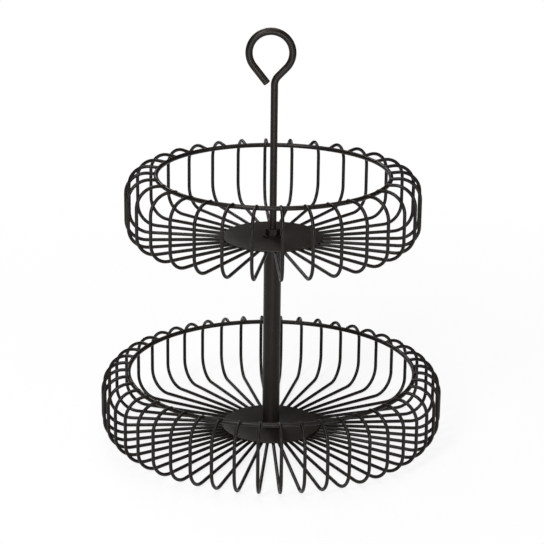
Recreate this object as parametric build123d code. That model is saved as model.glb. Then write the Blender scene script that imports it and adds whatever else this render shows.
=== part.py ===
"""Two-tier wire basket on a centre post, with a looped carrying handle.

Units are millimetres and +Z is up. The origin is on the table, on the axis of
the post. The front of the object faces -Y and the handle loop lies in the XZ
plane. Each separate physical piece is one solid. The radial wires are kept in
nodes of two neighbours, and every other piece has a node of its own.
"""
from build123d import *

import os
from dataclasses import dataclass
from math import cos, radians, sin, tan

# Stock
WIRE_DIAMETER = 3.0
RIM_ROD_DIAMETER = 4.0
HANDLE_ROD_DIAMETER = 6.35
POST_DIAMETER = 15.5
POST_WALL = 1.2

# Wire ends, each notched to sit astride the rim ring and welded there
SEAT_RISE = 1.5             # wire over ring, centreline to centreline
END_REACH = 0.4             # how far a wire end passes the ring's centreline
NOTCH_CLEARANCE = 0.02      # radial, between the notch and the ring

# Hub plates, one at the middle of each basket floor, welded on top of the wires
HUB_PLATE_DIAMETER = 88.0
HUB_PLATE_THICKNESS = 1.5
HUB_PLATE_EDGE_ROUND = 0.4
HUB_OVERLAP = 14.0          # how far a wire reaches in under the plate
HUB_FLAT_MARGIN = 4.0       # level stretch of wire outside the plate
FLOOR_BEND_RADIUS = 25.0    # bend where a sloping floor wire turns level again
WIRE_END_CHAMFER = 0.3

# Handle
OVERALL_HEIGHT = 371.5
LOOP_RADIUS = 18.7          # centreline
RIGHT_LEG_ANGLE = 46.0      # against the table, degrees
RIGHT_LEG_LENGTH = 14.6     # from the loop to the corner on the post axis
LEFT_LEG_ANGLE = 52.0       # against the table, degrees
LEFT_LEG_LENGTH = 19.1      # from the loop to the free end
STEM_BEND_RADIUS = 11.0
ROD_END_CHAMFER = 0.5

# Joints of the handle and the post
PLUG_LENGTH = 16.0
PLUG_CHAMFER = 0.4
SCREW_HOLE_CLEARANCE = 0.4  # diametral, in the plates and washers
ROD_THREAD_LENGTH = 12.0    # rod inside the top plug
NUT_ACROSS_FLATS = 11.1
NUT_HEIGHT = 5.6
NUT_CHAMFER = 0.6
WASHER_DIAMETER = 18.0
WASHER_THICKNESS = 1.2
SCREW_DIAMETER = 6.35
SCREW_HEAD_DIAMETER = 11.5
SCREW_HEAD_HEIGHT = 2.8
SCREW_HEAD_ROUND = 1.0
SCREW_SOCKET_ACROSS_FLATS = 4.0
SCREW_SOCKET_DEPTH = 1.8
SCREW_LENGTH = 14.0         # under the head
SCREW_TIP_CHAMFER = 0.6

MATCH_TOLERANCE = 0.01      # how closely an edge's radius must match to be picked
HEXAGON_SIDES = 6
WIRES_PER_NODE = 2
HALF_TURN = 180.0
QUARTER_TURN = 90.0
STANDING = (Align.CENTER, Align.CENTER, Align.MIN)
HANGING = (Align.CENTER, Align.CENTER, Align.MAX)
PARTS_FOLDER = "parts"


@dataclass(frozen=True)
class Basket:
    """Sizes of one basket. Heights and radii are those of centrelines."""

    name: str
    outer_diameter: float   # over the upright wires
    rim_overhang: float     # from the rim ring out to the upright wires
    foot_height: float      # lowest point of a wire
    depth: float            # rim ring above the foot
    wire_count: int
    turn: float             # turn of the first wire past half a pitch, degrees
    top_slope: float        # rise of a wire as it leaves the rim ring, degrees
    top_straight: float     # straight stretch of wire at the rim ring
    bottom_bend: float      # radius where a wire turns under the floor
    floor_slope: float      # rise of the floor towards the hub, degrees

    @property
    def wire_radius(self) -> float:
        """Radius of the upright stretch of a wire."""
        return (self.outer_diameter - WIRE_DIAMETER) / 2

    @property
    def rim_radius(self) -> float:
        """Radius of the rim ring."""
        return self.wire_radius - self.rim_overhang

    @property
    def rim_height(self) -> float:
        """Height of the rim ring."""
        return self.foot_height + self.depth

    @property
    def wire_end(self) -> tuple:
        """Radius and height of a wire's end on the rim ring."""
        drop = END_REACH * tan(radians(self.top_slope))
        return self.rim_radius - END_REACH, self.rim_height + SEAT_RISE - drop

    @property
    def top_corner(self) -> float:
        """Height where the sloping top run and the upright would meet."""
        return self.rim_height + SEAT_RISE + self.rim_overhang * tan(radians(self.top_slope))

    @property
    def top_bend(self) -> float:
        """Radius where a wire turns over the rim, which fills what the straight leaves."""
        slope = radians(self.top_slope)
        run = (self.rim_overhang + END_REACH) / cos(slope) - self.top_straight
        return run / tan((radians(QUARTER_TURN) + slope) / 2)

    @property
    def bottom_corner(self) -> float:
        """Height where the upright and the sloping floor run would meet."""
        slope = radians(self.floor_slope)
        return self.foot_height - self.bottom_bend * (tan(slope) + 1 / cos(slope) - 1)

    @property
    def floor_run(self) -> float:
        """Horizontal length of the sloping floor run, from corner to corner."""
        return self.wire_radius - HUB_PLATE_DIAMETER / 2 - HUB_FLAT_MARGIN

    @property
    def hub_wire_height(self) -> float:
        """Height of the level wire ends under the hub plate."""
        return self.bottom_corner + self.floor_run * tan(radians(self.floor_slope))

    @property
    def plate_bottom(self) -> float:
        """Underside of the hub plate, which is welded on the wires."""
        return self.hub_wire_height + WIRE_DIAMETER / 2

    @property
    def plate_top(self) -> float:
        """Upper side of the hub plate."""
        return self.plate_bottom + HUB_PLATE_THICKNESS


LOWER = Basket(
    name="lower",
    outer_diameter=305.0,
    rim_overhang=23.0,
    foot_height=WIRE_DIAMETER / 2,
    depth=58.5,
    wire_count=48,
    turn=0.0,
    top_slope=12.0,
    top_straight=1.2,
    bottom_bend=20.0,
    floor_slope=2.75,
)
UPPER = Basket(
    name="upper",
    outer_diameter=260.0,
    rim_overhang=26.2,
    foot_height=183.2,
    depth=58.4,
    wire_count=32,
    turn=-2.2,
    top_slope=5.0,
    top_straight=7.0,
    bottom_bend=18.0,
    floor_slope=0.0,
)

POST_INNER_DIAMETER = POST_DIAMETER - 2 * POST_WALL
ROD_HOLE_DIAMETER = HANDLE_ROD_DIAMETER + SCREW_HOLE_CLEARANCE
LOOP_HEIGHT = OVERALL_HEIGHT - HANDLE_ROD_DIAMETER / 2 - LOOP_RADIUS


def swept_rod(path, diameter: float, end_chamfer: float) -> Part:
    """Round rod along a smooth path, with both cut ends broken by a small chamfer."""
    section = Plane(origin=path @ 0, z_dir=path % 0) * Circle(diameter / 2)
    rod = sweep(section, path=path)
    ends = rod.edges().filter_by(GeomType.CIRCLE).filter_by(
        lambda edge: min((edge.arc_center - path @ end).length for end in (0, 1)) < end_chamfer
    )
    return chamfer(ends, end_chamfer)


def wire_path(basket: Basket):
    """Centreline of a radial wire in the XZ plane: rim, over, down, foot, in to the hub."""
    hub_edge = HUB_PLATE_DIAMETER / 2
    points = [
        basket.wire_end,
        (basket.wire_radius, basket.top_corner),
        (basket.wire_radius, basket.bottom_corner),
    ]
    radii = [basket.top_bend, basket.bottom_bend]
    if basket.floor_slope:
        points.append((hub_edge + HUB_FLAT_MARGIN, basket.hub_wire_height))
        radii.append(FLOOR_BEND_RADIUS)
    points.append((hub_edge - HUB_OVERLAP, basket.hub_wire_height))
    return Plane.XZ * FilletPolyline(*points, radius=radii)


def rim_ring(basket: Basket, clearance: float = 0) -> Part:
    """Rod bent into a closed ring and butt welded, or the room that it needs."""
    ring = Torus(basket.rim_radius, RIM_ROD_DIAMETER / 2 + clearance)
    return Pos(0, 0, basket.rim_height) * ring


def radial_wire(basket: Basket) -> Part:
    """One wire in the XZ plane, with its end notched to sit astride the rim ring."""
    wire = swept_rod(wire_path(basket), WIRE_DIAMETER, WIRE_END_CHAMFER)
    return wire - rim_ring(basket, NOTCH_CLEARANCE)


def wire_azimuth(basket: Basket, index: int) -> float:
    """Azimuth of a wire in degrees from the front, seen from above, to the right."""
    return (index + 1 / 2) * 2 * HALF_TURN / basket.wire_count + basket.turn


def wire_nodes(basket: Basket) -> dict:
    """All the radial wires of a basket, in nodes of two neighbours."""
    wire = radial_wire(basket)
    nodes = {}
    for first in range(0, basket.wire_count, WIRES_PER_NODE):
        turned = [
            Rot(0, 0, wire_azimuth(basket, first + step) - QUARTER_TURN) * wire
            for step in range(WIRES_PER_NODE)
        ]
        number = first // WIRES_PER_NODE + 1
        nodes[f"{basket.name}_wire_pair_{number:02d}"] = turned
    return nodes


def disc(diameter: float, hole: float, bottom: float, height: float) -> Part:
    """Flat round piece with a centre hole, standing on a given height."""
    solid = Cylinder(diameter / 2, height, align=STANDING)
    solid -= Cylinder(hole / 2, height, align=STANDING)
    return Pos(0, 0, bottom) * solid


def outer_rims(solid: Part, diameter: float):
    """The two circular edges of a round piece that have the given diameter."""
    return solid.edges().filter_by(GeomType.CIRCLE).filter_by(
        lambda edge: abs(edge.radius - diameter / 2) < MATCH_TOLERANCE
    )


def hub_plate(basket: Basket) -> Part:
    """Plate that ties the wire ends together and takes the post."""
    plate = disc(HUB_PLATE_DIAMETER, ROD_HOLE_DIAMETER, basket.plate_bottom, HUB_PLATE_THICKNESS)
    return fillet(outer_rims(plate, HUB_PLATE_DIAMETER), HUB_PLATE_EDGE_ROUND)


def post_tube() -> Part:
    """Spacer tube between the two hub plates."""
    height = UPPER.plate_bottom - LOWER.plate_top
    return disc(POST_DIAMETER, POST_INNER_DIAMETER, LOWER.plate_top, height)


def post_plug(bottom: float, hole: float) -> Part:
    """Threaded plug pressed into an end of the post tube."""
    plug = disc(POST_INNER_DIAMETER, hole, bottom, PLUG_LENGTH)
    return chamfer(outer_rims(plug, hole), PLUG_CHAMFER)


def washer(bottom: float) -> Part:
    """Flat washer."""
    return disc(WASHER_DIAMETER, ROD_HOLE_DIAMETER, bottom, WASHER_THICKNESS)


def hexagon_bar(across_flats: float, bottom: float, height: float) -> Part:
    """Six-sided bar standing on a given height."""
    section = RegularPolygon(across_flats / 2, HEXAGON_SIDES, major_radius=False)
    return Pos(0, 0, bottom) * extrude(section, amount=height)


def lock_nut(bottom: float) -> Part:
    """Hexagon nut on the handle rod, with turned corners at both ends."""
    across_corners = NUT_ACROSS_FLATS / cos(radians(HALF_TURN / HEXAGON_SIDES))
    turned = disc(across_corners, HANDLE_ROD_DIAMETER, bottom, NUT_HEIGHT)
    turned = chamfer(outer_rims(turned, across_corners), NUT_CHAMFER / 2, NUT_CHAMFER)
    return turned & hexagon_bar(NUT_ACROSS_FLATS, bottom, NUT_HEIGHT)


def base_screw(head_top: float) -> Part:
    """Low round-head screw with a hexagon socket, driven up into the post from below."""
    head = Cylinder(SCREW_HEAD_DIAMETER / 2, SCREW_HEAD_HEIGHT, align=HANGING)
    head = fillet(head.edges().filter_by(GeomType.CIRCLE).sort_by(Axis.Z)[0], SCREW_HEAD_ROUND)
    shank = Cylinder(SCREW_DIAMETER / 2, SCREW_LENGTH, align=STANDING)
    tip = shank.edges().filter_by(GeomType.CIRCLE).sort_by(Axis.Z)[-1]
    shank = chamfer(tip, SCREW_TIP_CHAMFER)
    socket = hexagon_bar(SCREW_SOCKET_ACROSS_FLATS, -SCREW_HEAD_HEIGHT, SCREW_SOCKET_DEPTH)
    return Pos(0, 0, head_top) * (head + shank - socket)


def handle_path():
    """Stem, bend, right leg, loop and left leg of the handle, in the XZ plane."""
    right, left = radians(RIGHT_LEG_ANGLE), radians(LEFT_LEG_ANGLE)
    loop_x = RIGHT_LEG_LENGTH * cos(right) - LOOP_RADIUS * sin(right)
    right_top = (loop_x + LOOP_RADIUS * sin(right), LOOP_HEIGHT - LOOP_RADIUS * cos(right))
    left_top = (loop_x - LOOP_RADIUS * sin(left), LOOP_HEIGHT - LOOP_RADIUS * cos(left))
    corner = (0, right_top[1] - RIGHT_LEG_LENGTH * sin(right))
    free_end = (
        left_top[0] + LEFT_LEG_LENGTH * cos(left),
        left_top[1] - LEFT_LEG_LENGTH * sin(left),
    )
    stem_foot = (0, UPPER.plate_bottom - ROD_THREAD_LENGTH)
    stem = FilletPolyline(stem_foot, corner, right_top, radius=STEM_BEND_RADIUS)
    start = RIGHT_LEG_ANGLE - QUARTER_TURN
    sweep_angle = 2 * HALF_TURN - RIGHT_LEG_ANGLE - LEFT_LEG_ANGLE
    loop = CenterArc((loop_x, LOOP_HEIGHT), LOOP_RADIUS, start, sweep_angle)
    return Plane.XZ * Wire([*stem.edges(), *loop.edges(), *Line(left_top, free_end).edges()])


def all_nodes() -> dict:
    """Every node by name, from the table up."""
    washer_bottom = LOWER.plate_bottom - WASHER_THICKNESS
    nodes = {
        "base_screw": base_screw(washer_bottom),
        "base_washer": washer(washer_bottom),
        "lower_hub_plate": hub_plate(LOWER),
        "lower_rim_ring": rim_ring(LOWER),
        **wire_nodes(LOWER),
        "post_bottom_plug": post_plug(LOWER.plate_top, SCREW_DIAMETER),
        "post_tube": post_tube(),
        "post_top_plug": post_plug(UPPER.plate_bottom - PLUG_LENGTH, HANDLE_ROD_DIAMETER),
        "upper_hub_plate": hub_plate(UPPER),
        "upper_rim_ring": rim_ring(UPPER),
        **wire_nodes(UPPER),
        "handle_lock_washer": washer(UPPER.plate_top),
        "handle_lock_nut": lock_nut(UPPER.plate_top + WASHER_THICKNESS),
        "handle_rod": swept_rod(handle_path(), HANDLE_ROD_DIAMETER, ROD_END_CHAMFER),
    }
    return nodes


os.makedirs(PARTS_FOLDER, exist_ok=True)
for node_name, node_shape in all_nodes().items():
    pieces = node_shape if isinstance(node_shape, list) else [node_shape]
    solids = [solid for piece in pieces for solid in piece.solids()]
    node = Compound(label=node_name, children=solids) if len(solids) > 1 else solids[0]
    node.label = node_name
    export_step(node, os.path.join(PARTS_FOLDER, f"{node_name}.step"))
    print(f"{node_name}: {len(solids)} solid(s), {node.volume:.0f} mm3")
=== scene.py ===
"""Finished look of a two-tier wire basket: smooth coated wires, rims, hub plates, post and handle.

Sizes are in millimetres in the object's classes and become metres when a mesh is made. The studio
is in metres. The origin is on the table on the post's axis, +Z is up and the front faces -Y.
"""
import logging
from dataclasses import dataclass, field
from enum import Enum
from math import cos, pi, radians, sin, tan

import bpy
import numpy as np
from mathutils import Matrix, Vector


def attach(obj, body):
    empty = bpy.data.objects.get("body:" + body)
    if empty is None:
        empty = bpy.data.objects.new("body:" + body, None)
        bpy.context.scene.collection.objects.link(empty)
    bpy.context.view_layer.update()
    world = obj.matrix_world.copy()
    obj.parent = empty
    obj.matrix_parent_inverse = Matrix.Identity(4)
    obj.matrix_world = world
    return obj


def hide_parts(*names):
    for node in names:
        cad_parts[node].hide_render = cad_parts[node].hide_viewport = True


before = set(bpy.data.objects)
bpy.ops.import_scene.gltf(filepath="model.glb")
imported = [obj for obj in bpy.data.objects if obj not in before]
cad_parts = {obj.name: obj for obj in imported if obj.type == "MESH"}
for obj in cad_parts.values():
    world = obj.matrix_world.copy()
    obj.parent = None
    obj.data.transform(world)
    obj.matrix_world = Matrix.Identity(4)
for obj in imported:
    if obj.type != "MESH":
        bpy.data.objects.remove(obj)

logging.basicConfig(level=logging.INFO, format="%(message)s")
LOG = logging.getLogger("basket")

MM = 0.001
ROOT = "root"
PHOTO_WIDTH = 544
SENSOR_WIDTH = 36.0
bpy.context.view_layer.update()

Y_AXIS = np.array([0.0, 1.0, 0.0])
ARC_POINTS = 8
CORNER_POINTS = 6
CUT_POINTS = 5
BEAD_ROWS = 5
BEAD_COLUMNS = 10
GENERAL_WEAR = 0.05

# Socket numbers of a Mix node for colours, because its socket names repeat for other data.
MIX_FACTOR, MIX_FIRST, MIX_SECOND, MIX_COLOUR = 0, 6, 7, 2

Colour = tuple[float, float, float]
Span = tuple[float, float]
Faces = list[tuple[int, ...]]
Surface = tuple[np.ndarray, Faces]


class Slot(Enum):
    """Material slots of the record that the pieces take their finish from."""

    BLACK = "black_powder_coat"
    ZINC = "zinc_plated_steel"


# Shapes


def round_angles(count: int) -> np.ndarray:
    """Evenly spaced angles all the way round from 0, in radians."""
    return np.linspace(0.0, 2 * pi, count, endpoint=False)


def closed_tube(path: np.ndarray, radius: np.ndarray, sides: int) -> Surface:
    """Round tube along a path in the XZ plane, closed by a pole at each end.

    Each ring is centre + radius * (cos(a) * normal + sin(a) * Y), where normal is Y x tangent.

    Args:
        path: centreline points, shape (n, 3).
        radius: tube radius at each point, shape (n,).
        sides: number of points round the tube.

    Returns:
        Points of shape (n * sides + 2, 3) and faces as a list of index tuples.
    """
    tangent = np.gradient(path, axis=0)
    tangent /= np.linalg.norm(tangent, axis=1, keepdims=True)
    normal = np.cross(Y_AXIS, tangent)[:, None]
    angle = round_angles(sides)[None, :, None]
    spoke = np.cos(angle) * normal + np.sin(angle) * Y_AXIS
    rings = path[:, None] + radius[:, None, None] * spoke
    points = np.concatenate([rings.reshape(-1, 3), path[:1], path[-1:]])
    return points, grid_faces(len(path), sides, capped=True)


def grid_faces(rows: int, columns: int, capped: bool = False, ring: bool = False) -> Faces:
    """Faces of a grid whose columns close on themselves.

    Args:
        rows: number of rings.
        columns: points in each ring.
        capped: close both ends on two poles that follow the grid's points.
        ring: join the last ring to the first, as on a torus.

    Returns:
        Index tuples of four corners, and of three at the poles, facing outwards.
    """
    row, column = np.meshgrid(
        np.arange(rows if ring else rows - 1), np.arange(columns), indexing="ij")
    after, beside = (row + 1) % rows, (column + 1) % columns
    corners = [(row, column), (row, beside), (after, beside), (after, column)]
    quads = np.stack([across * columns + along for across, along in corners], -1)
    faces = [tuple(quad) for quad in quads.reshape(-1, 4).tolist()]
    if capped:
        edge = np.arange(columns)
        following = (edge + 1) % columns
        last = (rows - 1) * columns
        first_pole = np.full(columns, rows * columns)
        starts = np.stack([first_pole, following, edge], -1)
        ends = np.stack([first_pole + 1, last + edge, last + following], -1)
        faces += [tuple(face) for face in np.concatenate([starts, ends]).tolist()]
    return faces


def rounded_line(corners: np.ndarray, radii: list[float], step: float) -> np.ndarray:
    """Line through corners in a plane, each turned on an arc tangent to both its runs.

    An arc of radius r that turns by angle t starts r * tan(t / 2) before its corner. Its centre
    lies r to the side of the run, and its points are centre + r * (cos, sin) over the turn.

    Args:
        corners: corner points, shape (n, 2), the first and last being the ends.
        radii: arc radius at each inner corner.
        step: largest distance between points.

    Returns:
        Points of shape (m, 2).
    """
    pieces, start = [], corners[0]
    for before, corner, after, radius in zip(corners, corners[1:], corners[2:], radii):
        arriving = (corner - before) / np.linalg.norm(corner - before)
        leaving = (after - corner) / np.linalg.norm(after - corner)
        across = arriving[0] * leaving[1] - arriving[1] * leaving[0]
        turn = np.arctan2(across, arriving @ leaving)
        setback = radius * tan(abs(turn) / 2)
        arc_start = corner - arriving * setback
        pieces.append(straight(start, arc_start, step)[:-1])
        left = np.array([-arriving[1], arriving[0]]) * np.sign(turn)
        count = max(int(radius * abs(turn) / step) + 1, ARC_POINTS)
        swing = np.linspace(0.0, turn, count)[:, None]
        spoke = -left * np.cos(swing) + arriving * np.sign(turn) * np.sin(swing)
        pieces.append((arc_start + left * radius + radius * spoke)[:-1])
        start = corner + leaving * setback
    pieces.append(straight(start, corners[-1], step))
    return np.concatenate(pieces)


def straight(start: np.ndarray, end: np.ndarray, step: float) -> np.ndarray:
    """Evenly spaced points from start to end, at most step apart, both ends included."""
    count = max(int(np.linalg.norm(end - start) / step) + 1, 2)
    return start + (end - start) * np.linspace(0.0, 1.0, count)[:, None]


def with_cut_ends(path: np.ndarray, round_off: float) -> tuple[np.ndarray, np.ndarray]:
    """Adds the close points that a rounded cut end needs at both ends of a path.

    At distance d from the end the radius is short of full by round_off * (1 - sqrt(1 - q * q)),
    with q = 1 - d / round_off, which is a quarter circle.

    Args:
        path: centreline points, shape (n, 3).
        round_off: radius of the rounding of the cut edge.

    Returns:
        The new path, and how much the tube's radius falls short at each point.
    """
    depth = round_off * (1 - np.cos(np.linspace(0.0, pi / 2, CUT_POINTS)))
    first = (path[1] - path[0]) / np.linalg.norm(path[1] - path[0])
    last = (path[-2] - path[-1]) / np.linalg.norm(path[-2] - path[-1])
    head = path[0] + first * depth[:, None]
    tail = (path[-1] + last * depth[:, None])[::-1]
    short = round_off * (1 - np.sqrt(np.clip(1 - (1 - depth / round_off) ** 2, 0.0, 1.0)))
    whole = np.concatenate([head, path[1:-1], tail])
    lack = np.concatenate([short, np.zeros(len(path) - 2), short[::-1]])
    return whole, lack


def on_circle(radius: np.ndarray, angle: np.ndarray, height: np.ndarray) -> np.ndarray:
    """Points (radius * sin(angle), -radius * cos(angle), height), with angles from the front.

    Args:
        radius: distance from the Z axis.
        angle: angle from the front, in radians.
        height: Z, of the same shape as radius * angle.

    Returns:
        Points of shape (n, 3).
    """
    return np.stack([radius * np.sin(angle), -radius * np.cos(angle), height], -1).reshape(-1, 3)


def turned(profile: np.ndarray, sides: int) -> Surface:
    """Solid of revolution about Z: a point (r, z) of the profile goes round at radius r.

    Args:
        profile: closed outline of (r, z), anticlockwise with r to the right.
        sides: number of steps round the axis.

    Returns:
        Points and faces.
    """
    angle = round_angles(sides)[:, None]
    height = np.broadcast_to(profile[None, :, 1], (sides, len(profile)))
    points = on_circle(profile[None, :, 0], angle, height)
    return points, grid_faces(sides, len(profile), ring=True)


def rounded_ring_section(inner: float, outer: float, bottom: float, top: float,
                         edge: float) -> np.ndarray:
    """Section of a flat ring or tube, a rectangle whose corners are quarter circles.

    Args:
        inner: inner radius of the ring.
        outer: outer radius of the ring.
        bottom: height of its underside.
        top: height of its upper side.
        edge: radius of the corners.

    Returns:
        Outline of (r, z), CORNER_POINTS to a corner, from the outer corner at the bottom.
    """
    swing = np.linspace(0.0, pi / 2, CORNER_POINTS)
    corners = [(outer - edge, bottom + edge, -pi / 2), (outer - edge, top - edge, 0.0),
               (inner + edge, top - edge, pi / 2), (inner + edge, bottom + edge, pi)]
    arcs = [np.stack([r + edge * np.cos(swing + turn), z + edge * np.sin(swing + turn)], -1)
            for r, z, turn in corners]
    return np.concatenate(arcs)


def mound(centre: np.ndarray, axes: np.ndarray, sizes: np.ndarray) -> Surface:
    """Smooth mound: centre + sizes * (sin v cos u, sin v sin u, cos v) on three axes.

    Args:
        centre: middle of the mound.
        axes: three unit vectors as rows.
        sizes: half lengths along the axes.

    Returns:
        Points and faces.
    """
    u = round_angles(BEAD_COLUMNS)[None, :]
    v = np.linspace(0.0, pi, BEAD_ROWS + 2)[1:-1, None]
    level = np.cos(v) * np.ones_like(u)
    unit = np.stack([np.sin(v) * np.cos(u), np.sin(v) * np.sin(u), level], -1)
    unit = np.concatenate([unit.reshape(-1, 3), [[0, 0, 1.0], [0, 0, -1.0]]])
    faces = [tuple(reversed(face)) for face in grid_faces(BEAD_ROWS, BEAD_COLUMNS, capped=True)]
    return centre + (unit * sizes) @ axes, faces


def turn_about_z(points: np.ndarray, azimuth: float) -> np.ndarray:
    """Turns points of the XZ plane about the Z axis.

    Args:
        points: points as rows, outwards along +X.
        azimuth: where they go, in degrees from the front (-Y).

    Returns:
        The turned points.
    """
    angle = radians(azimuth - 90.0)
    matrix = np.array(
        [[cos(angle), -sin(angle), 0.0], [sin(angle), cos(angle), 0.0], [0.0, 0.0, 1.0]])
    return points @ matrix.T


def join(parts: list[Surface]) -> Surface:
    """Joins several surfaces into one.

    Args:
        parts: pairs of points and faces.

    Returns:
        All points, and all faces counted on from the points before them.
    """
    points, faces, base = [], [], 0
    for some_points, some_faces in parts:
        points.append(some_points)
        faces += [tuple(index + base for index in face) for face in some_faces]
        base += len(some_points)
    return np.concatenate(points), faces


# Finishes


@dataclass(frozen=True)
class Grain:
    """A noise pattern on a piece.

    Attributes:
        scale: cells for each metre.
        detail: number of finer layers.
        roughness: weight of the finer layers.
        used: part of its range that is stretched over the result.
    """

    scale: float
    detail: float
    roughness: float = 0.55
    used: Span = (0.0, 1.0)


@dataclass(frozen=True)
class NodeTree:
    """Short ways to add and link the nodes of one material."""

    tree: bpy.types.NodeTree

    def add(self, kind: str, **settings: object) -> bpy.types.Node:
        """Adds a node and sets its properties.

        Args:
            kind: Blender's node type.
            settings: properties of the node by name.

        Returns:
            The new node.
        """
        node = self.tree.nodes.new(kind)
        for name, value in settings.items():
            setattr(node, name, value)
        return node

    def link(self, source: bpy.types.NodeSocket, target: bpy.types.NodeSocket) -> None:
        """Joins an output to an input."""
        self.tree.links.new(source, target)

    def noise(self, grain: Grain) -> bpy.types.NodeSocket:
        """Grey noise on Object coordinates.

        Args:
            grain: the pattern.

        Returns:
            The noise's value.
        """
        place = self.add("ShaderNodeTexCoord")
        noise = self.add("ShaderNodeTexNoise")
        noise.inputs["Scale"].default_value = grain.scale
        noise.inputs["Detail"].default_value = grain.detail
        noise.inputs["Roughness"].default_value = grain.roughness
        self.link(place.outputs["Object"], noise.inputs["Vector"])
        return noise.outputs["Fac"]

    def spread(self, source: bpy.types.NodeSocket, used: Span,
               result: Span = (0.0, 1.0)) -> bpy.types.NodeSocket:
        """Stretches part of a value's range over another range, held at both limits.

        Args:
            source: the value.
            used: the part of its range.
            result: what the two ends of that part become.

        Returns:
            The stretched value.
        """
        remap = self.add("ShaderNodeMapRange", clamp=True)
        for name, value in zip(("From Min", "From Max", "To Min", "To Max"), (*used, *result)):
            remap.inputs[name].default_value = value
        self.link(source, remap.inputs["Value"])
        return remap.outputs["Result"]

    def cloudy(self, grain: Grain, result: Span = (0.0, 1.0)) -> bpy.types.NodeSocket:
        """Noise whose used part is stretched over a range."""
        return self.spread(self.noise(grain), grain.used, result)

    def multiply(self, first: bpy.types.NodeSocket,
                 second: bpy.types.NodeSocket) -> bpy.types.NodeSocket:
        """Multiplies two values.

        Args:
            first: one value.
            second: the other.

        Returns:
            Their product.
        """
        product = self.add("ShaderNodeMath", operation="MULTIPLY")
        self.link(first, product.inputs[0])
        self.link(second, product.inputs[1])
        return product.outputs[0]

    def mix(self, factor: bpy.types.NodeSocket, first: Colour | bpy.types.NodeSocket,
            second: Colour | bpy.types.NodeSocket) -> bpy.types.NodeSocket:
        """Mixes two colours.

        Args:
            factor: share of the second colour.
            first: a colour, or a socket that gives one.
            second: likewise.

        Returns:
            The mixed colour.
        """
        mix = self.add("ShaderNodeMix", data_type="RGBA")
        self.link(factor, mix.inputs[MIX_FACTOR])
        for value, number in ((first, MIX_FIRST), (second, MIX_SECOND)):
            if isinstance(value, tuple):
                mix.inputs[number].default_value = (*value, 1.0)
            else:
                self.link(value, mix.inputs[number])
        return mix.outputs[MIX_COLOUR]

    def bump(self, grain: Grain, strength: float, depth: float) -> bpy.types.NodeSocket:
        """Makes a surface direction that follows a noise.

        Args:
            grain: the noise.
            strength: share of the bump that shows.
            depth: height of the bumps in metres.

        Returns:
            The direction for a shader's Normal.
        """
        bump = self.add("ShaderNodeBump")
        bump.inputs["Strength"].default_value = strength
        bump.inputs["Distance"].default_value = depth
        self.link(self.noise(grain), bump.inputs["Height"])
        return bump.outputs["Normal"]


@dataclass(frozen=True)
class PowderCoat:
    """Satin black powder coat over steel, with fine orange peel and worn spots.

    Attributes:
        name: name of the material.
        colour: colour of the full coat.
        colour_thin: colour where the coat is thin.
        worn: colour of the worn spots.
        roughness: least and most roughness of the coat.
        refraction: index of refraction.
        gloss_level: level of the shader's specular reflection.
        thin_patches: where the coat is thin.
        chips: how a worn place breaks up into spots.
        satin: where the roughness lies in its range.
        peel: the orange peel.
        peel_strength: share of the peel that shows.
        peel_depth: depth of the peel, in metres.
    """

    name: str = Slot.BLACK.value
    colour: Colour = (0.0060, 0.0043, 0.0031)
    colour_thin: Colour = (0.0087, 0.0063, 0.0046)
    worn: Colour = (0.070, 0.056, 0.045)
    roughness: Span = (0.33, 0.39)
    refraction: float = 1.5
    gloss_level: float = 0.22
    thin_patches: Grain = Grain(60.0, 3.0, used=(0.35, 0.7))
    chips: Grain = Grain(900.0, 4.0, 0.65, used=(0.46, 0.62))
    satin: Grain = Grain(260.0, 3.0, used=(0.3, 0.7))
    peel: Grain = Grain(1300.0, 2.0, 0.5)
    peel_strength: float = 0.05
    peel_depth: float = 0.00012

    def make(self) -> bpy.types.Material:
        """Builds the material.

        Returns:
            A material that reads Object coordinates and the wear attribute of the mesh.
        """
        material, nodes, shader = blank_material(self.name)
        coat = nodes.mix(nodes.cloudy(self.thin_patches), self.colour, self.colour_thin)
        wear = nodes.add("ShaderNodeAttribute", attribute_name="wear")
        bare = nodes.multiply(wear.outputs["Fac"], nodes.cloudy(self.chips))
        nodes.link(nodes.mix(bare, coat, self.worn), shader.inputs["Base Color"])
        nodes.link(nodes.cloudy(self.satin, self.roughness), shader.inputs["Roughness"])
        peel = nodes.bump(self.peel, self.peel_strength, self.peel_depth)
        nodes.link(peel, shader.inputs["Normal"])
        shader.inputs["IOR"].default_value = self.refraction
        shader.inputs["Specular IOR Level"].default_value = self.gloss_level
        return material


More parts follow.
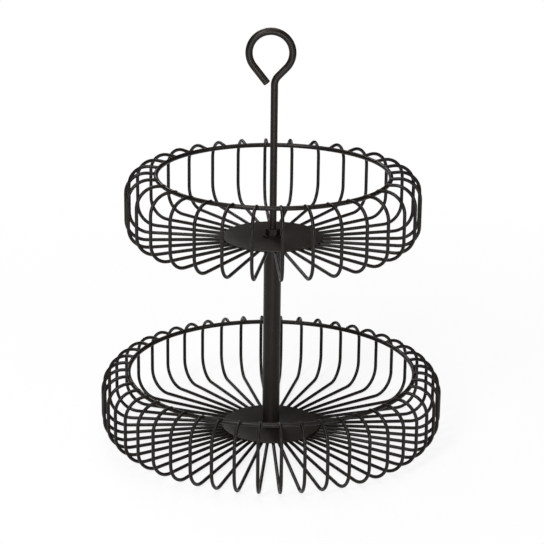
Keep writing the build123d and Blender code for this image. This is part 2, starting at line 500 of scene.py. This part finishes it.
@dataclass(frozen=True)
class ZincPlate:
    """Bright zinc plate on the small steel fasteners.

    Attributes:
        name: name of the material.
        colour: colour of the bright plating.
        colour_dull: colour of its dull clouds.
        roughness: least and most roughness of the plating.
        clouds: where the plating is dull.
        satin: where the roughness lies in its range.
        scratches: the fine scratches.
        scratch_strength: share of the scratches that shows.
        scratch_depth: depth of the scratches, in metres.
    """

    name: str = Slot.ZINC.value
    colour: Colour = (0.56, 0.56, 0.54)
    colour_dull: Colour = (0.42, 0.42, 0.43)
    roughness: Span = (0.26, 0.42)
    clouds: Grain = Grain(320.0, 4.0, used=(0.35, 0.65))
    satin: Grain = Grain(700.0, 3.0, used=(0.3, 0.7))
    scratches: Grain = Grain(2600.0, 2.0)
    scratch_strength: float = 0.25
    scratch_depth: float = 0.00005

    def make(self) -> bpy.types.Material:
        """Builds the material.

        Returns:
            A metallic material with cloudy plating and fine scratches in its bump.
        """
        material, nodes, shader = blank_material(self.name)
        plating = nodes.mix(nodes.cloudy(self.clouds), self.colour, self.colour_dull)
        nodes.link(plating, shader.inputs["Base Color"])
        nodes.link(nodes.cloudy(self.satin, self.roughness), shader.inputs["Roughness"])
        scratched = nodes.bump(self.scratches, self.scratch_strength, self.scratch_depth)
        nodes.link(scratched, shader.inputs["Normal"])
        shader.inputs["Metallic"].default_value = 1.0
        return material


FINISHES = {Slot.BLACK: PowderCoat, Slot.ZINC: ZincPlate}


def blank_material(name: str) -> tuple[bpy.types.Material, NodeTree, bpy.types.Node]:
    """Makes a node material with only its shader and output.

    Args:
        name: name of the material.

    Returns:
        The material, its tree helper and its Principled shader.
    """
    material = bpy.data.materials.new(name)
    material.use_nodes = True
    shader = material.node_tree.nodes["Principled BSDF"]
    return material, NodeTree(material.node_tree), shader


@dataclass(frozen=True)
class Wear:
    """How the coat is worn round one place.

    Attributes:
        most: wear at the place, from 0 to 1.
        reach: distance over which it falls to about a third.
    """

    most: float
    reach: float

    def at(self, distance: np.ndarray) -> np.ndarray:
        """Wear at distances from the place: most * exp(-distance / reach)."""
        return self.most * np.exp(-np.clip(distance, 0.0, None) / self.reach)


@dataclass
class Workshop:
    """Makes meshes into finished pieces of the object.

    Attributes:
        finishes: the materials made so far.
    """

    finishes: dict[Slot, bpy.types.Material] = field(default_factory=dict)

    def finish(self, slot: Slot) -> bpy.types.Material:
        """Gives the material of a slot, made the first time it is asked for.

        Args:
            slot: the slot.

        Returns:
            Its material.
        """
        if slot not in self.finishes:
            self.finishes[slot] = FINISHES[slot]().make()
        return self.finishes[slot]

    def piece(self, name: str, points: np.ndarray, faces: Faces, slot: Slot,
              nodes: tuple[str, ...], wear: np.ndarray | None = None) -> bpy.types.Object:
        """Makes one smooth mesh object that rides on the basket's body.

        Args:
            name: name of the piece.
            points: vertices in millimetres.
            faces: index tuples.
            slot: finish of the piece.
            nodes: CAD nodes that the piece stands for.
            wear: how worn the coat is at each vertex, 0 to 1.

        Returns:
            The new object.
        """
        mesh = bpy.data.meshes.new(name)
        mesh.from_pydata((points * MM).tolist(), [], faces)
        mesh.polygons.foreach_set("use_smooth", np.ones(len(mesh.polygons), bool))
        if wear is not None:
            attribute = mesh.attributes.new("wear", "FLOAT", "POINT")
            attribute.data.foreach_set("value", wear.astype(np.float32))
        mesh.update()
        obj = bpy.data.objects.new(name, mesh)
        bpy.context.scene.collection.objects.link(obj)
        mesh.materials.append(self.finish(slot))
        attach(obj, ROOT)
        if nodes:
            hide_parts(*nodes)
        LOG.info("%s: %d points, %d faces", name, len(points), len(faces))
        return obj

    def keep(self, node: str, slot: Slot) -> None:
        """Gives a CAD node that stays its finish.

        Args:
            node: name of the node.
            slot: its finish.
        """
        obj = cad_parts[node]
        obj.data.materials.clear()
        obj.data.materials.append(self.finish(slot))
        LOG.info("%s: kept from the solid model", node)


# The object


@dataclass(frozen=True)
class WeldBead:
    """Weld bead of a wire.

    Attributes:
        half_sizes: half lengths along the wire, across it and up.
        inwards: how far its middle lies inside the rim's centreline or the plate's edge.
        down: how far its middle lies below the rim's top or the plate's underside.
    """

    half_sizes: tuple[float, float, float]
    inwards: float
    down: float


@dataclass(frozen=True)
class Stock:
    """Rods, bends, hub plates, welds and wear that both baskets share.

    Attributes:
        wire: diameter of a wire.
        wire_sides: points round a wire.
        wire_step: largest distance between the rings of points along a wire.
        seat_rise: height of a wire's centreline over the rim's, where it sits on the rim.
        end_reach: how far a wire's cut end passes the rim's centreline.
        end_round: rounding of a wire's cut ends.
        floor_bend: radius where a sloping floor run turns level.
        uneven_degrees: the most that a wire stands away from its even place.
        uneven_stride: phase from wire to wire of that unevenness, in radians.
        rim: diameter of the rim's rod.
        rim_sides: points round the rim's rod.
        rim_steps: steps round the rim.
        butt_weld_degrees: azimuth of the rim's butt weld.
        butt_weld_rise: how much the rod's radius grows at it.
        butt_weld_width: how far along the rim the growth reaches to each side.
        plate: diameter of a hub plate.
        plate_thickness: thickness of a hub plate.
        plate_hole: diameter of its centre hole.
        plate_edge: rounding of its edges.
        plate_steps: steps round a hub plate.
        hub_overlap: how far the wires reach in under a hub plate.
        hub_flat_margin: how far outside the plate the floor run would meet the level end.
        rim_weld: bead of a wire on the rim.
        hub_weld: bead of a wire under the edge of a hub plate.
        foot_wear: wear at the lowest points of the wires.
        cut_end_wear: wear at their cut ends.
        plate_edge_wear: wear at the outer edge of a hub plate.
    """

    wire: float = 3.0
    wire_sides: int = 16
    wire_step: float = 2.6
    seat_rise: float = 1.5
    end_reach: float = 0.4
    end_round: float = 0.45
    floor_bend: float = 25.0
    uneven_degrees: float = 0.25
    uneven_stride: float = 12.9898
    rim: float = 4.0
    rim_sides: int = 20
    rim_steps: int = 320
    butt_weld_degrees: float = 184.0
    butt_weld_rise: float = 0.12
    butt_weld_width: float = 1.6
    plate: float = 88.0
    plate_thickness: float = 1.5
    plate_hole: float = 6.75
    plate_edge: float = 0.4
    plate_steps: int = 180
    hub_overlap: float = 14.0
    hub_flat_margin: float = 4.0
    rim_weld: WeldBead = WeldBead((1.5, 2.3, 0.7), inwards=0.0, down=0.4)
    hub_weld: WeldBead = WeldBead((3.2, 1.9, 0.5), inwards=4.0, down=0.35)
    foot_wear: Wear = Wear(1.0, 1.2)
    cut_end_wear: Wear = Wear(0.8, 1.0)
    plate_edge_wear: Wear = Wear(0.5, 0.6)


@dataclass(frozen=True)
class Basket:
    """One round basket: radial wires, rim ring and hub plate.

    Attributes:
        name: word that its pieces' names begin with.
        outer_diameter: diameter over the wires.
        rim_overhang: how far the upright wires stand outside the rim, between centrelines.
        foot_height: lowest height of a wire's centreline.
        depth: height of the rim's centreline above that.
        wire_count: number of wires.
        turn: turn of the whole basket about the post, in degrees.
        top_slope: slope of a wire as it leaves the rim, in degrees.
        top_straight: length of a wire from its cut end to its top bend.
        bottom_bend: radius where a wire turns in to the floor.
        floor_slope: rise of the floor run towards the hub, in degrees.
        stock: what both baskets share.
    """

    name: str
    outer_diameter: float
    rim_overhang: float
    foot_height: float
    depth: float
    wire_count: int
    turn: float
    top_slope: float
    top_straight: float
    bottom_bend: float
    floor_slope: float
    stock: Stock = Stock()

    @property
    def wire_radius(self) -> float:
        """Radius of the upright stretch of a wire."""
        return (self.outer_diameter - self.stock.wire) / 2

    @property
    def rim_radius(self) -> float:
        """Radius of the rim ring's centreline."""
        return self.wire_radius - self.rim_overhang

    @property
    def rim_height(self) -> float:
        """Height of the rim ring's centreline."""
        return self.foot_height + self.depth

    @property
    def top_rise(self) -> float:
        """Rise of a wire for each millimetre outwards as it leaves the rim."""
        return tan(radians(self.top_slope))

    @property
    def top_bend(self) -> float:
        """Radius where a wire turns over the rim: (run - straight) / tan((90 + slope) / 2)."""
        run = (self.rim_overhang + self.stock.end_reach) / cos(radians(self.top_slope))
        return (run - self.top_straight) / tan(radians(90.0 + self.top_slope) / 2)

    @property
    def bottom_corner(self) -> float:
        """Height where the upright and the floor run would meet."""
        slope = radians(self.floor_slope)
        return self.foot_height - self.bottom_bend * (tan(slope) + 1 / cos(slope) - 1)

    @property
    def hub_wire_height(self) -> float:
        """Height of the level wire ends under the hub plate."""
        run = self.wire_radius - self.stock.plate / 2 - self.stock.hub_flat_margin
        return self.bottom_corner + run * tan(radians(self.floor_slope))

    @property
    def plate_bottom(self) -> float:
        """Underside of the hub plate."""
        return self.hub_wire_height + self.stock.wire / 2

    @property
    def plate_top(self) -> float:
        """Upper side of the hub plate."""
        return self.plate_bottom + self.stock.plate_thickness

    def azimuth(self, index: int) -> float:
        """Azimuth of a wire, with the small unevenness of welding by hand.

        The unevenness is uneven_degrees * sin(uneven_stride * (index + 1) + count), which looks
        random from wire to wire and is the same each time.

        Args:
            index: number of the wire, from 0.

        Returns:
            Degrees from the front.
        """
        wave = sin(self.stock.uneven_stride * (index + 1) + self.wire_count)
        even = (index + 0.5) * 360.0 / self.wire_count + self.turn
        return even + self.stock.uneven_degrees * wave

    def wire_line(self) -> np.ndarray:
        """Lays out a wire in the XZ plane, from the rim out, down and in to the hub.

        Returns:
            Centreline points, shape (n, 3).
        """
        stock = self.stock
        seat = self.rim_height + stock.seat_rise
        corners = [
            (self.rim_radius - stock.end_reach, seat - stock.end_reach * self.top_rise),
            (self.wire_radius, seat + self.rim_overhang * self.top_rise),
            (self.wire_radius, self.bottom_corner),
        ]
        radii = [self.top_bend, self.bottom_bend]
        if self.floor_slope:
            corners.append((stock.plate / 2 + stock.hub_flat_margin, self.hub_wire_height))
            radii.append(stock.floor_bend)
        corners.append((stock.plate / 2 - stock.hub_overlap, self.hub_wire_height))
        line = rounded_line(np.array(corners), radii, stock.wire_step)
        return np.stack([line[:, 0], np.zeros(len(line)), line[:, 1]], -1)

    def wire(self) -> tuple[np.ndarray, Faces, np.ndarray]:
        """Makes a wire in the XZ plane with rounded cut ends, worn at its foot and its ends.

        Returns:
            Points, faces, and the wear of the coat at each point.
        """
        stock = self.stock
        path, lack = with_cut_ends(self.wire_line(), stock.end_round)
        points, faces = closed_tube(path, stock.wire / 2 - lack, stock.wire_sides)
        above_foot = points[:, 2] - (self.foot_height - stock.wire / 2)
        to_end = np.linalg.norm(points[:, None] - path[[0, -1]][None], axis=2).min(axis=1)
        cut_wear = stock.cut_end_wear.at(to_end - stock.wire / 2)
        return points, faces, np.maximum(stock.foot_wear.at(above_foot), cut_wear)

    def build_wires(self, shop: Workshop) -> None:
        """Makes the wires, two neighbours to a piece.

        Args:
            shop: makes the pieces.
        """
        points, faces, wear = self.wire()
        for first in range(0, self.wire_count, 2):
            azimuths = self.azimuth(first), self.azimuth(first + 1)
            pair = join([(turn_about_z(points, azimuth), faces) for azimuth in azimuths])
            node = f"{self.name}_wire_pair_{first // 2 + 1:02d}"
            shop.piece(f"{node}_coated", *pair, Slot.BLACK, (node,), np.tile(wear, 2))

    def build_rim(self, shop: Workshop) -> None:
        """Makes the rim ring, a little thicker at its butt weld at the back.

        There the rod's radius grows by rise * exp(-(arc / width)^2) * (1 - sin(a)) / 2, with arc
        measured along the ring from the weld and a round the rod, so its top stays level.

        Args:
            shop: makes the piece.
        """
        stock = self.stock
        angle = round_angles(stock.rim_steps)[:, None]
        round_rod = round_angles(stock.rim_sides)[None, :]
        arc = (angle - radians(stock.butt_weld_degrees)) * self.rim_radius
        swell = stock.butt_weld_rise * np.exp(-((arc / stock.butt_weld_width) ** 2))
        thick = stock.rim / 2 + swell * (1 - np.sin(round_rod)) / 2
        points = on_circle(self.rim_radius + thick * np.cos(round_rod), angle,
                           self.rim_height + thick * np.sin(round_rod))
        faces = grid_faces(stock.rim_steps, stock.rim_sides, ring=True)
        shop.piece(f"{self.name}_rim_ring_coated", points, faces, Slot.BLACK,
                   (f"{self.name}_rim_ring",), np.full(len(points), GENERAL_WEAR))

    def build_plate(self, shop: Workshop) -> None:
        """Makes the hub plate with its rounded edge and centre hole.

        Args:
            shop: makes the piece.
        """
        stock = self.stock
        section = rounded_ring_section(
            stock.plate_hole / 2, stock.plate / 2, self.plate_bottom, self.plate_top,
            stock.plate_edge)
        points, faces = turned(section, stock.plate_steps)
        to_edge = stock.plate / 2 - np.hypot(points[:, 0], points[:, 1])
        shop.piece(f"{self.name}_hub_plate_coated", points, faces, Slot.BLACK,
                   (f"{self.name}_hub_plate",), stock.plate_edge_wear.at(to_edge))

    def build_welds(self, shop: Workshop) -> None:
        """Makes the small welds of every wire, on the rim and under the edge of the hub plate.

        Args:
            shop: makes the pieces.
        """
        stock = self.stock
        azimuths = [self.azimuth(index) for index in range(self.wire_count)]
        for part, weld, radius, height in (
                ("rim", stock.rim_weld, self.rim_radius, self.rim_height + stock.rim / 2),
                ("hub", stock.hub_weld, stock.plate / 2, self.plate_bottom)):
            spot = np.array([radius - weld.inwards, 0.0, height - weld.down])
            sizes = np.array(weld.half_sizes)
            beads = [mound(turn_about_z(spot, azimuth), turn_about_z(np.eye(3), azimuth), sizes)
                     for azimuth in azimuths]
            shop.piece(f"{self.name}_{part}_welds", *join(beads), Slot.BLACK, ())

    def build(self, shop: Workshop) -> None:
        """Makes every piece of the basket.

        Args:
            shop: makes the pieces.
        """
        self.build_rim(shop)
        self.build_plate(shop)
        self.build_wires(shop)
        self.build_welds(shop)


@dataclass(frozen=True)
class Post:
    """Spacer tube between the two hub plates.

    Attributes:
        bottom: height of its lower end.
        top: height of its upper end.
        diameter: outer diameter.
        wall: thickness of the wall.
        edge: rounding of its edges.
        sides: steps round the tube.
        step: largest distance between the rings of points along it.
    """

    bottom: float
    top: float
    diameter: float = 15.5
    wall: float = 1.2
    edge: float = 0.3
    sides: int = 64
    step: float = 4.0

    def build(self, shop: Workshop) -> None:
        """Makes the tube with its broken edges.

        Args:
            shop: makes the piece.
        """
        radius = self.diameter / 2
        section = rounded_ring_section(
            radius - self.wall, radius, self.bottom, self.top, self.edge)
        low_outer, high_outer, high_inner, low_inner = section.reshape(4, CORNER_POINTS, 2)
        outer = straight(low_outer[-1], high_outer[0], self.step)[1:-1]
        inner = straight(high_inner[-1], low_inner[0], self.step)[1:-1]
        outline = np.concatenate([low_outer, outer, high_outer, high_inner, inner, low_inner])
        points, faces = turned(outline, self.sides)
        shop.piece("post_tube_coated", points, faces, Slot.BLACK, ("post_tube",),
                   np.full(len(points), GENERAL_WEAR))


@dataclass(frozen=True)
class Handle:
    """Handle rod: threaded end, stem, small bend and the open loop.

    Attributes:
        overall_height: height of the loop's top.
        rod: diameter of the rod.
        loop_radius: radius of the loop's centreline.
        right_angle: slope of the leg from the stem to the loop, in degrees.
        right_leg: length of that leg, from where it would meet the stem.
        left_angle: slope of the leg from the loop to the free end, in degrees.
        left_leg: length of that leg.
        stem_bend: radius where the stem turns into its leg.
        end_round: rounding of the cut ends.
        below_plate: how far the rod reaches below the upper hub plate.
        thread_above_plate: how far the thread reaches above that plate.
        thread_pitch: rise of the thread in one turn.
        thread_depth: depth of the thread.
        thread_steps: rings of points to a turn of the thread.
        sides: points round the rod.
        step: largest distance between the rings of points along it.
        loop_steps: points along the loop.
        end_wear: wear at the free end.
    """

    overall_height: float = 371.5
    rod: float = 6.35
    loop_radius: float = 18.7
    right_angle: float = 46.0
    right_leg: float = 14.6
    left_angle: float = 52.0
    left_leg: float = 19.1
    stem_bend: float = 11.0
    end_round: float = 0.5
    below_plate: float = 12.0
    thread_above_plate: float = 10.5
    thread_pitch: float = 1.27
    thread_depth: float = 0.45
    thread_steps: int = 8
    sides: int = 28
    step: float = 1.2
    loop_steps: int = 90
    end_wear: Wear = Wear(0.7, 1.0)

    def line(self, lower_end: float) -> np.ndarray:
        """Lays out the rod in the XZ plane, from its lower end up and round to its free end.

        The loop is centre + radius * (cos(a), sin(a)), from where its right leg touches it to
        where its left leg does.

        Args:
            lower_end: height of the rod's lower end.

        Returns:
            Centreline points, shape (n, 3).
        """
        right_lean, left_lean = radians(self.right_angle), radians(self.left_angle)
        centre = np.array([self.right_leg * cos(right_lean) - self.loop_radius * sin(right_lean),
                           self.overall_height - self.rod / 2 - self.loop_radius])
        right = centre + self.loop_radius * np.array([sin(right_lean), -cos(right_lean)])
        left = centre - self.loop_radius * np.array([sin(left_lean), cos(left_lean)])
        corner = right - self.right_leg * np.array([cos(right_lean), sin(right_lean)])
        free_end = left + self.left_leg * np.array([cos(left_lean), -sin(left_lean)])
        corners = np.array([(0.0, lower_end), corner, right])
        stem = rounded_line(corners, [self.stem_bend], self.step)
        ends = right_lean - pi / 2, 1.5 * pi - left_lean
        swing = np.linspace(*ends, self.loop_steps)[1:-1, None]
        loop = centre + self.loop_radius * np.concatenate([np.cos(swing), np.sin(swing)], 1)
        flat = np.concatenate([stem, loop, straight(left, free_end, self.step)])
        return np.stack([flat[:, 0], np.zeros(len(flat)), flat[:, 1]], -1)

    def with_thread(self, points: np.ndarray, thread_top: float) -> np.ndarray:
        """Cuts the thread into the rod's points below a height.

        The radius loses depth * |2 * frac(z / pitch + a / (2 pi)) - 1|, faded out over the last
        turn.

        Args:
            points: points of the plain rod.
            thread_top: height where the thread runs out.

        Returns:
            The points with the thread.
        """
        x, y, z = points.T
        groove = np.abs(2 * ((z / self.thread_pitch + np.arctan2(y, x) / (2 * pi)) % 1.0) - 1)
        fade = np.clip((thread_top - z) / self.thread_pitch, 0.0, 1.0)
        reach = np.maximum(np.hypot(x, y), self.thread_depth)
        scale = np.where(z < thread_top, 1 - self.thread_depth * groove * fade / reach, 1.0)
        return np.stack([x * scale, y * scale, z], -1)

    def build(self, shop: Workshop, plate_bottom: float, plate_top: float) -> None:
        """Makes the rod, with a real thread where it passes the hub plate.

        Args:
            shop: makes the piece.
            plate_bottom: underside of the upper hub plate.
            plate_top: upper side of that plate.
        """
        lower_end = plate_bottom - self.below_plate
        thread_top = plate_top + self.thread_above_plate
        path = self.line(lower_end)
        fine = np.arange(lower_end, thread_top, self.thread_pitch / self.thread_steps)
        screw = np.stack([np.zeros(len(fine)), np.zeros(len(fine)), fine], -1)
        path = np.concatenate([screw, path[path[:, 2] > thread_top]])
        path, lack = with_cut_ends(path, self.end_round)
        points, faces = closed_tube(path, self.rod / 2 - lack, self.sides)
        points = self.with_thread(points, thread_top)
        to_end = np.linalg.norm(points - path[-1], axis=1) - self.rod / 2
        shop.piece("handle_rod_coated", points, faces, Slot.BLACK, ("handle_rod",),
                   np.maximum(GENERAL_WEAR, self.end_wear.at(to_end)))


# The studio


@dataclass(frozen=True)
class Lamp:
    """Rectangular soft lamp.

    Attributes:
        name: name of the lamp.
        place: where its middle is, in metres.
        size: width and height, in metres.
        power: power in watts.
    """

    name: str
    place: tuple[float, float, float]
    size: Span
    power: float

    def build(self, target: Vector) -> None:
        """Adds the lamp.

        Args:
            target: the point that it faces.
        """
        data = bpy.data.lights.new(self.name, "AREA")
        data.shape, data.size, data.size_y, data.energy = "RECTANGLE", *self.size, self.power
        obj = bpy.data.objects.new(self.name, data)
        facing = (target - Vector(self.place)).to_track_quat("-Z", "Y").to_matrix().to_4x4()
        obj.matrix_world = Matrix.Translation(self.place) @ facing
        bpy.context.scene.collection.objects.link(obj)


@dataclass(frozen=True)
class Studio:
    """Plain floor, soft lamps and the camera at the photograph's angle, in metres.

    Attributes:
        focal_px: focal length, in pixels of the photograph.
        shift_px: sideways shift of the picture, in its pixels.
        distance: how far the camera stands in front of the post.
        height: height of the camera.
        pitch: how far the camera looks down, in radians.
        roll: turn of the camera about its own axis, in radians.
        floor_size: length of the floor's sides.
        floor_colour: colour of the floor.
        floor_roughness: roughness of the floor.
        fade_radii: distances from the post between which the floor runs out to white.
        near_share: share of the floor that is its own light near the post.
        surround_light: strength of the surround for all but the camera.
        lamp_target: the point that the lamps face.
        lamps: the lamps.
    """

    focal_px: float = 2018.603
    shift_px: float = -0.394
    distance: float = 1.69374
    height: float = 0.71466
    pitch: float = 0.32038
    roll: float = 0.01112
    floor_size: float = 14.0
    floor_colour: Colour = (0.93, 0.93, 0.93)
    floor_roughness: float = 0.55
    fade_radii: Span = (0.25, 0.8)
    near_share: float = 0.84
    surround_light: float = 0.035
    lamp_target: tuple[float, float, float] = (0.0, 0.0, 0.17)
    lamps: tuple[Lamp, ...] = (
        Lamp("key_left", (-0.9, -1.8, 1.7), (0.5, 1.1), 42.0),
        Lamp("fill_right", (1.7, -1.0, 1.0), (0.4, 1.2), 7.0),
        Lamp("top", (0.0, 0.2, 2.3), (1.5, 1.5), 28.0),
        Lamp("front", (0.1, -2.2, 0.22), (0.6, 0.36), 15.0),
        Lamp("back", (-0.7, 2.0, 1.5), (0.7, 0.9), 12.0),
    )

    def camera(self) -> None:
        """Sets the camera: pitched down, rolled a little, with the photograph's focal length."""
        data = bpy.data.cameras.new("camera")
        data.sensor_width = SENSOR_WIDTH
        data.lens = self.focal_px / PHOTO_WIDTH * SENSOR_WIDTH
        data.shift_x = self.shift_px / PHOTO_WIDTH
        obj = bpy.data.objects.new("camera", data)
        turn = Matrix.Rotation(pi / 2 - self.pitch, 4, "X") @ Matrix.Rotation(self.roll, 4, "Z")
        obj.matrix_world = Matrix.Translation((0.0, -self.distance, self.height)) @ turn
        bpy.context.scene.collection.objects.link(obj)
        bpy.context.scene.camera = obj

    def floor(self) -> None:
        """Adds the white floor."""
        half = self.floor_size / 2
        corners = [(-half, -half, 0), (half, -half, 0), (half, half, 0), (-half, half, 0)]
        mesh = bpy.data.meshes.new("floor")
        mesh.from_pydata(corners, [], [(0, 1, 2, 3)])
        obj = bpy.data.objects.new("floor", mesh)
        bpy.context.scene.collection.objects.link(obj)
        mesh.materials.append(self.floor_material())

    def floor_material(self) -> bpy.types.Material:
        """Makes the floor run out to white, with a soft shadow near the object.

        To the camera its own light makes up near_share of it within the first of fade_radii and
        all of it beyond the second.

        Returns:
            The material.
        """
        material, nodes, shader = blank_material("floor_white")
        shader.inputs["Base Color"].default_value = (*self.floor_colour, 1.0)
        shader.inputs["Roughness"].default_value = self.floor_roughness
        glow = nodes.add("ShaderNodeEmission")
        rays = nodes.add("ShaderNodeLightPath")
        place = nodes.add("ShaderNodeTexCoord")
        away = nodes.add("ShaderNodeVectorMath", operation="LENGTH")
        nodes.link(place.outputs["Object"], away.inputs[0])
        glowing = nodes.spread(away.outputs["Value"], self.fade_radii, (self.near_share, 1.0))
        blend = nodes.add("ShaderNodeMixShader")
        nodes.link(nodes.multiply(rays.outputs["Is Camera Ray"], glowing), blend.inputs[0])
        nodes.link(shader.outputs[0], blend.inputs[1])
        nodes.link(glow.outputs[0], blend.inputs[2])
        output = material.node_tree.nodes["Material Output"]
        nodes.link(blend.outputs[0], output.inputs["Surface"])
        return material

    def world(self) -> None:
        """Sets a surround that is white to the camera and gives only a little light."""
        world = bpy.data.worlds.new("studio")
        world.use_nodes = True
        nodes = NodeTree(world.node_tree)
        background = world.node_tree.nodes["Background"]
        background.inputs["Color"].default_value = (1.0, 1.0, 1.0, 1.0)
        rays = nodes.add("ShaderNodeLightPath")
        strength = nodes.spread(
            rays.outputs["Is Camera Ray"], (0.0, 1.0), (self.surround_light, 1.0))
        nodes.link(strength, background.inputs["Strength"])
        bpy.context.scene.world = world

    def build(self) -> None:
        """Makes the whole studio."""
        self.camera()
        self.floor()
        self.world()
        for lamp in self.lamps:
            lamp.build(Vector(self.lamp_target))
        bpy.context.scene.view_settings.view_transform = "Standard"


LOWER = Basket("lower", outer_diameter=305.0, rim_overhang=23.0, foot_height=1.5, depth=58.5,
               wire_count=48, turn=0.0, top_slope=12.0, top_straight=1.2, bottom_bend=20.0,
               floor_slope=2.75)
UPPER = Basket("upper", outer_diameter=260.0, rim_overhang=26.2, foot_height=183.2, depth=58.4,
               wire_count=32, turn=-2.2, top_slope=5.0, top_straight=7.0, bottom_bend=18.0,
               floor_slope=0.0)
KEPT = {
    "base_screw": Slot.ZINC,
    "base_washer": Slot.ZINC,
    "post_bottom_plug": Slot.ZINC,
    "post_top_plug": Slot.ZINC,
    "handle_lock_washer": Slot.BLACK,
    "handle_lock_nut": Slot.BLACK,
}


def main() -> None:
    """Builds every piece, then the studio."""
    shop = Workshop()
    LOWER.build(shop)
    UPPER.build(shop)
    Post(LOWER.plate_top, UPPER.plate_bottom).build(shop)
    Handle().build(shop, UPPER.plate_bottom, UPPER.plate_top)
    for node, slot in KEPT.items():
        shop.keep(node, slot)
    Studio().build()


if __name__ == "__main__":
    main()
